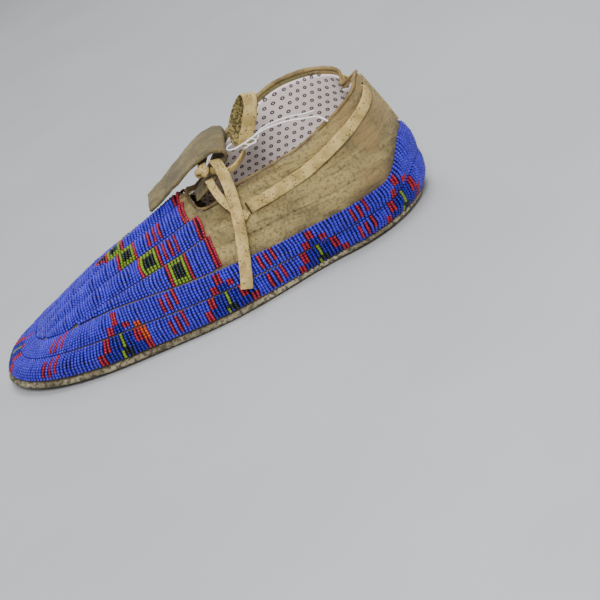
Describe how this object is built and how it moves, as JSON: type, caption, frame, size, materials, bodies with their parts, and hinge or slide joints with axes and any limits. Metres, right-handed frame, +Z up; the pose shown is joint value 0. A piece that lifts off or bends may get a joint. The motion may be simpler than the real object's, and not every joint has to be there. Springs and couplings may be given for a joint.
{
  "type": "moccasin",
  "caption": "Low hard-sole moccasin for the left foot: hide upper covered with lanes of seed beads, cotton lining, folded tongue and hide lace tied in a bow.",
  "frame": {"origin": "on the flat underside of the sole, half way between toe and heel", "axes": "+Y towards the heel, +X towards the outer side of the foot, +Z up out of the shoe"},
  "size_m": [0.1002, 0.2609, 0.0946],
  "materials": {
    "rawhide": "rough",
    "hide": "suede",
    "hide_edge": "rough",
    "lace": "suede",
    "cotton_print": "matte",
    "thread": "matte",
    "beads": "glossy"
  },
  "bodies": {
    "shoe": {"sole": "rawhide", "upper_vamp": "hide", "upper_outer": "hide", "upper_inner": "hide", "rim_hem": "hide_edge", "heel_seam": "hide_edge", "lining": "cotton_print", "tongue_base": "hide", "lace_side_outer": "lace", "lace_side_inner": "lace", "lace_front_outer": "lace", "lace_front_inner": "lace", "lace_knot": "lace", "tag_thread": "thread", "vamp_lane_1": "beads", "vamp_lane_2": "beads", "vamp_lane_3": "beads", "vamp_lane_4": "beads", "vamp_lane_5": "beads", "vamp_lane_6": "beads", "vamp_lane_7": "beads", "border_lane_lower": "beads", "border_lane_upper": "beads"},
    "flap": {"tongue_flap": "hide"},
    "loop": {"lace_loop": "lace"},
    "lace_tail": {"lace_end": "lace"}
  },
  "joints": [
    {"name": "flap_lift", "type": "hinge", "parent": "shoe", "child": "flap", "pos_m": [0, 0.041, 0.075], "axis": [-1, 0, 0], "range_deg": [0, 85]},
    {"name": "loop_lean", "type": "hinge", "parent": "shoe", "child": "loop", "pos_m": [0.0105, 0.051, 0.071], "axis": [-1, 0, 0], "range_deg": [-6, 8]},
    {"name": "tail_swing", "type": "hinge", "parent": "shoe", "child": "lace_tail", "pos_m": [0.018, 0.0358, 0.0716], "axis": [0, -1, 0], "range_deg": [0, 30]}
  ]
}
